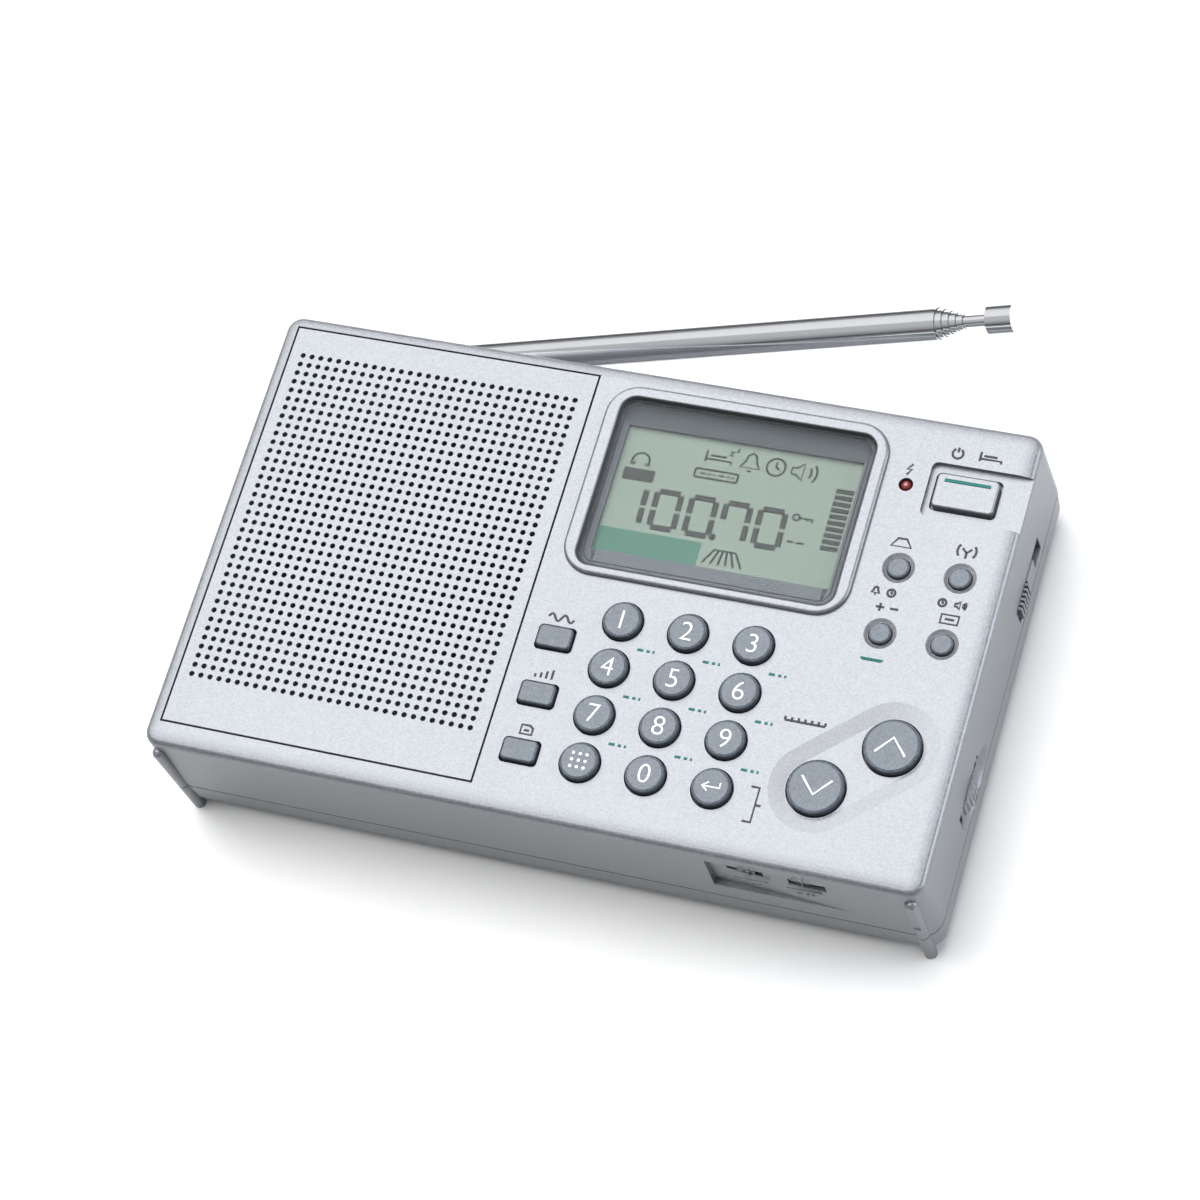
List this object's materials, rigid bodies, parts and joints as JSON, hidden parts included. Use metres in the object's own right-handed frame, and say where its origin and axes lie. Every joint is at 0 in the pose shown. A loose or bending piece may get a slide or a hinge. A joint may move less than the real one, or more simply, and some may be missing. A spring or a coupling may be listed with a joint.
{
  "type": "tabletop radio",
  "caption": "Compact silver world-band radio lying on its back: perforated speaker grille, liquid-crystal display, numeric keypad, tuning buttons and a swung-out telescopic antenna.",
  "frame": {"origin": "middle of the outline, antenna included, on the surface the radio lies on", "axes": "+X along the face towards the controls, +Y towards the antenna side, +Z out of the face, away from the surface"},
  "size_m": [0.1471, 0.1089, 0.0406],
  "materials": {
    "silver_paint": "satin silver metallic paint with fine flake",
    "key_grey": "satin, fine metallic speckle",
    "grey_mask": "satin slate grey print",
    "clear_lens": "clear polished window",
    "lcd_green": "grey-green liquid crystal with dark segments",
    "chrome_plate": "polished",
    "plated_steel": "zinc plated",
    "black_plastic": "moulded",
    "speaker_paper": "coated paper with a rubber surround",
    "ferrite": "sintered, matte",
    "dust_cloth": "thin blue-grey dust sheet",
    "circuit_board": "green solder mask",
    "copper_wire": "enamelled wire",
    "cell_jacket": "plain printed jacket",
    "red_lens": "dark red lens"
  },
  "bodies": {
    "case": {"front_case": "silver_paint", "rear_case": "silver_paint", "case_screws": "plated_steel", "grille_panel": "silver_paint", "grille_backing": "dust_cloth", "speaker_basket": "black_plastic", "speaker_magnet": "ferrite", "lcd_lens": "clear_lens", "lcd_frame": "grey_mask", "lcd_glass": "lcd_green", "control_board": "circuit_board", "tact_switches": "black_plastic", "main_board": "circuit_board", "ferrite_rod": "ferrite", "ferrite_coil": "copper_wire", "batteries": "cell_jacket", "battery_contacts": "plated_steel", "earphone_jack": "black_plastic", "dc_jack": "black_plastic", "charge_led": "red_lens", "volume_pot": "black_plastic", "switch_bodies": "black_plastic"},
    "speaker_cone": {"speaker_cone": "speaker_paper"},
    "battery_door": {"battery_door": "silver_paint"},
    "kickstand": {"kickstand": "silver_paint"},
    "volume_wheel": {"volume_wheel": "silver_paint"},
    "tone_slider": {"tone_slider": "silver_paint"},
    "lock_slider": {"lock_slider": "black_plastic"},
    "stereo_slider": {"stereo_slider": "black_plastic"},
    "key_1": {"key_1": "key_grey"},
    "key_2": {"key_2": "key_grey"},
    "key_3": {"key_3": "key_grey"},
    "key_4": {"key_4": "key_grey"},
    "key_5": {"key_5": "key_grey"},
    "key_6": {"key_6": "key_grey"},
    "key_7": {"key_7": "key_grey"},
    "key_8": {"key_8": "key_grey"},
    "key_9": {"key_9": "key_grey"},
    "key_memory": {"key_memory": "key_grey"},
    "key_0": {"key_0": "key_grey"},
    "key_enter": {"key_enter": "key_grey"},
    "band_button": {"band_button": "key_grey"},
    "meter_button": {"meter_button": "key_grey"},
    "page_button": {"page_button": "key_grey"},
    "bandwidth_button": {"bandwidth_button": "key_grey"},
    "distance_button": {"distance_button": "key_grey"},
    "fine_button": {"fine_button": "key_grey"},
    "display_button": {"display_button": "key_grey"},
    "tune_up_button": {"tune_up_button": "key_grey"},
    "tune_down_button": {"tune_down_button": "key_grey"},
    "power_button": {"power_button": "silver_paint"},
    "antenna_swivel": {"antenna_swivel": "chrome_plate", "antenna_pin": "chrome_plate"},
    "antenna_tube_1": {"antenna_tube_1": "chrome_plate"},
    "antenna_tube_2": {"antenna_tube_2": "chrome_plate"},
    "antenna_tube_3": {"antenna_tube_3": "chrome_plate"},
    "antenna_tube_4": {"antenna_tube_4": "chrome_plate"},
    "antenna_tube_5": {"antenna_tube_5": "chrome_plate"},
    "antenna_rod": {"antenna_rod": "chrome_plate", "antenna_tip": "chrome_plate"}
  },
  "joints": [
    {"name": "cone_stroke", "type": "slide", "parent": "case", "child": "speaker_cone", "axis": [0, 0, 1], "range_m": [-0.0004, 0.0004], "stiffness_N_per_m": 2000},
    {"name": "door_lift", "type": "slide", "parent": "case", "child": "battery_door", "axis": [0, 0, -1], "range_m": [0, 0.006]},
    {"name": "kickstand_hinge", "type": "hinge", "parent": "case", "child": "kickstand", "pos_m": [-0.037, 0.01085, 0.00345], "axis": [1, 0, 0], "range_deg": [0, 65]},
    {"name": "volume_turn", "type": "hinge", "parent": "case", "child": "volume_wheel", "pos_m": [0.0669, -0.02825, 0.015], "axis": [0, 0, 1], "range_deg": [-135, 135]},
    {"name": "tone_slide", "type": "slide", "parent": "case", "child": "tone_slider", "axis": [0, 1, 0], "range_m": [0, 0.0039]},
    {"name": "lock_slide", "type": "slide", "parent": "case", "child": "lock_slider", "axis": [1, 0, 0], "range_m": [-0.0026, 0.0009]},
    {"name": "stereo_slide", "type": "slide", "parent": "case", "child": "stereo_slider", "axis": [1, 0, 0], "range_m": [-0.0009, 0.0026]},
    {"name": "key_1_press", "type": "slide", "parent": "case", "child": "key_1", "axis": [0, 0, -1], "range_m": [0, 0.0005], "stiffness_N_per_m": 500, "springref_m": -0.001},
    {"name": "key_2_press", "type": "slide", "parent": "case", "child": "key_2", "axis": [0, 0, -1], "range_m": [0, 0.0005], "stiffness_N_per_m": 500, "springref_m": -0.001},
    {"name": "key_3_press", "type": "slide", "parent": "case", "child": "key_3", "axis": [0, 0, -1], "range_m": [0, 0.0005], "stiffness_N_per_m": 500, "springref_m": -0.001},
    {"name": "key_4_press", "type": "slide", "parent": "case", "child": "key_4", "axis": [0, 0, -1], "range_m": [0, 0.0005], "stiffness_N_per_m": 500, "springref_m": -0.001},
    {"name": "key_5_press", "type": "slide", "parent": "case", "child": "key_5", "axis": [0, 0, -1], "range_m": [0, 0.0005], "stiffness_N_per_m": 500, "springref_m": -0.001},
    {"name": "key_6_press", "type": "slide", "parent": "case", "child": "key_6", "axis": [0, 0, -1], "range_m": [0, 0.0005], "stiffness_N_per_m": 500, "springref_m": -0.001},
    {"name": "key_7_press", "type": "slide", "parent": "case", "child": "key_7", "axis": [0, 0, -1], "range_m": [0, 0.0005], "stiffness_N_per_m": 500, "springref_m": -0.001},
    {"name": "key_8_press", "type": "slide", "parent": "case", "child": "key_8", "axis": [0, 0, -1], "range_m": [0, 0.0005], "stiffness_N_per_m": 500, "springref_m": -0.001},
    {"name": "key_9_press", "type": "slide", "parent": "case", "child": "key_9", "axis": [0, 0, -1], "range_m": [0, 0.0005], "stiffness_N_per_m": 500, "springref_m": -0.001},
    {"name": "key_memory_press", "type": "slide", "parent": "case", "child": "key_memory", "axis": [0, 0, -1], "range_m": [0, 0.0005], "stiffness_N_per_m": 500, "springref_m": -0.001},
    {"name": "key_0_press", "type": "slide", "parent": "case", "child": "key_0", "axis": [0, 0, -1], "range_m": [0, 0.0005], "stiffness_N_per_m": 500, "springref_m": -0.001},
    {"name": "key_enter_press", "type": "slide", "parent": "case", "child": "key_enter", "axis": [0, 0, -1], "range_m": [0, 0.0005], "stiffness_N_per_m": 500, "springref_m": -0.001},
    {"name": "band_button_press", "type": "slide", "parent": "case", "child": "band_button", "axis": [0, 0, -1], "range_m": [0, 0.0005], "stiffness_N_per_m": 500, "springref_m": -0.001},
    {"name": "meter_button_press", "type": "slide", "parent": "case", "child": "meter_button", "axis": [0, 0, -1], "range_m": [0, 0.0005], "stiffness_N_per_m": 500, "springref_m": -0.001},
    {"name": "page_button_press", "type": "slide", "parent": "case", "child": "page_button", "axis": [0, 0, -1], "range_m": [0, 0.0005], "stiffness_N_per_m": 500, "springref_m": -0.001},
    {"name": "bandwidth_button_press", "type": "slide", "parent": "case", "child": "bandwidth_button", "axis": [0, 0, -1], "range_m": [0, 0.0005], "stiffness_N_per_m": 500, "springref_m": -0.001},
    {"name": "distance_button_press", "type": "slide", "parent": "case", "child": "distance_button", "axis": [0, 0, -1], "range_m": [0, 0.0005], "stiffness_N_per_m": 500, "springref_m": -0.001},
    {"name": "fine_button_press", "type": "slide", "parent": "case", "child": "fine_button", "axis": [0, 0, -1], "range_m": [0, 0.0005], "stiffness_N_per_m": 500, "springref_m": -0.001},
    {"name": "display_button_press", "type": "slide", "parent": "case", "child": "display_button", "axis": [0, 0, -1], "range_m": [0, 0.0005], "stiffness_N_per_m": 500, "springref_m": -0.001},
    {"name": "tune_up_button_press", "type": "slide", "parent": "case", "child": "tune_up_button", "axis": [0, 0, -1], "range_m": [0, 0.0005], "stiffness_N_per_m": 500, "springref_m": -0.001},
    {"name": "tune_down_button_press", "type": "slide", "parent": "case", "child": "tune_down_button", "axis": [0, 0, -1], "range_m": [0, 0.0005], "stiffness_N_per_m": 500, "springref_m": -0.001},
    {"name": "power_button_press", "type": "slide", "parent": "case", "child": "power_button", "axis": [0, 0, -1], "range_m": [0, 0.0005], "stiffness_N_per_m": 500, "springref_m": -0.001},
    {"name": "antenna_swivel_turn", "type": "hinge", "parent": "case", "child": "antenna_swivel", "pos_m": [-0.0536, 0.03925, 0.0064], "axis": [0, 1, 0], "continuous": true},
    {"name": "antenna_elbow", "type": "hinge", "parent": "antenna_swivel", "child": "antenna_tube_1", "pos_m": [-0.0536, 0.03925, 0.0064], "axis": [-0.2588, 0, 0.9659], "range_deg": [-5.86, 84.14]},
    {"name": "antenna_tube_2_draw", "type": "slide", "parent": "antenna_tube_1", "child": "antenna_tube_2", "axis": [0.9609, 0.1021, 0.2575], "range_m": [0, 0.092]},
    {"name": "antenna_tube_3_draw", "type": "slide", "parent": "antenna_tube_2", "child": "antenna_tube_3", "axis": [0.9609, 0.1021, 0.2575], "range_m": [0, 0.092]},
    {"name": "antenna_tube_4_draw", "type": "slide", "parent": "antenna_tube_3", "child": "antenna_tube_4", "axis": [0.9609, 0.1021, 0.2575], "range_m": [0, 0.092]},
    {"name": "antenna_tube_5_draw", "type": "slide", "parent": "antenna_tube_4", "child": "antenna_tube_5", "axis": [0.9609, 0.1021, 0.2575], "range_m": [0, 0.092]},
    {"name": "antenna_rod_draw", "type": "slide", "parent": "antenna_tube_5", "child": "antenna_rod", "axis": [0.9609, 0.1021, 0.2575], "range_m": [0, 0.092]}
  ]
}
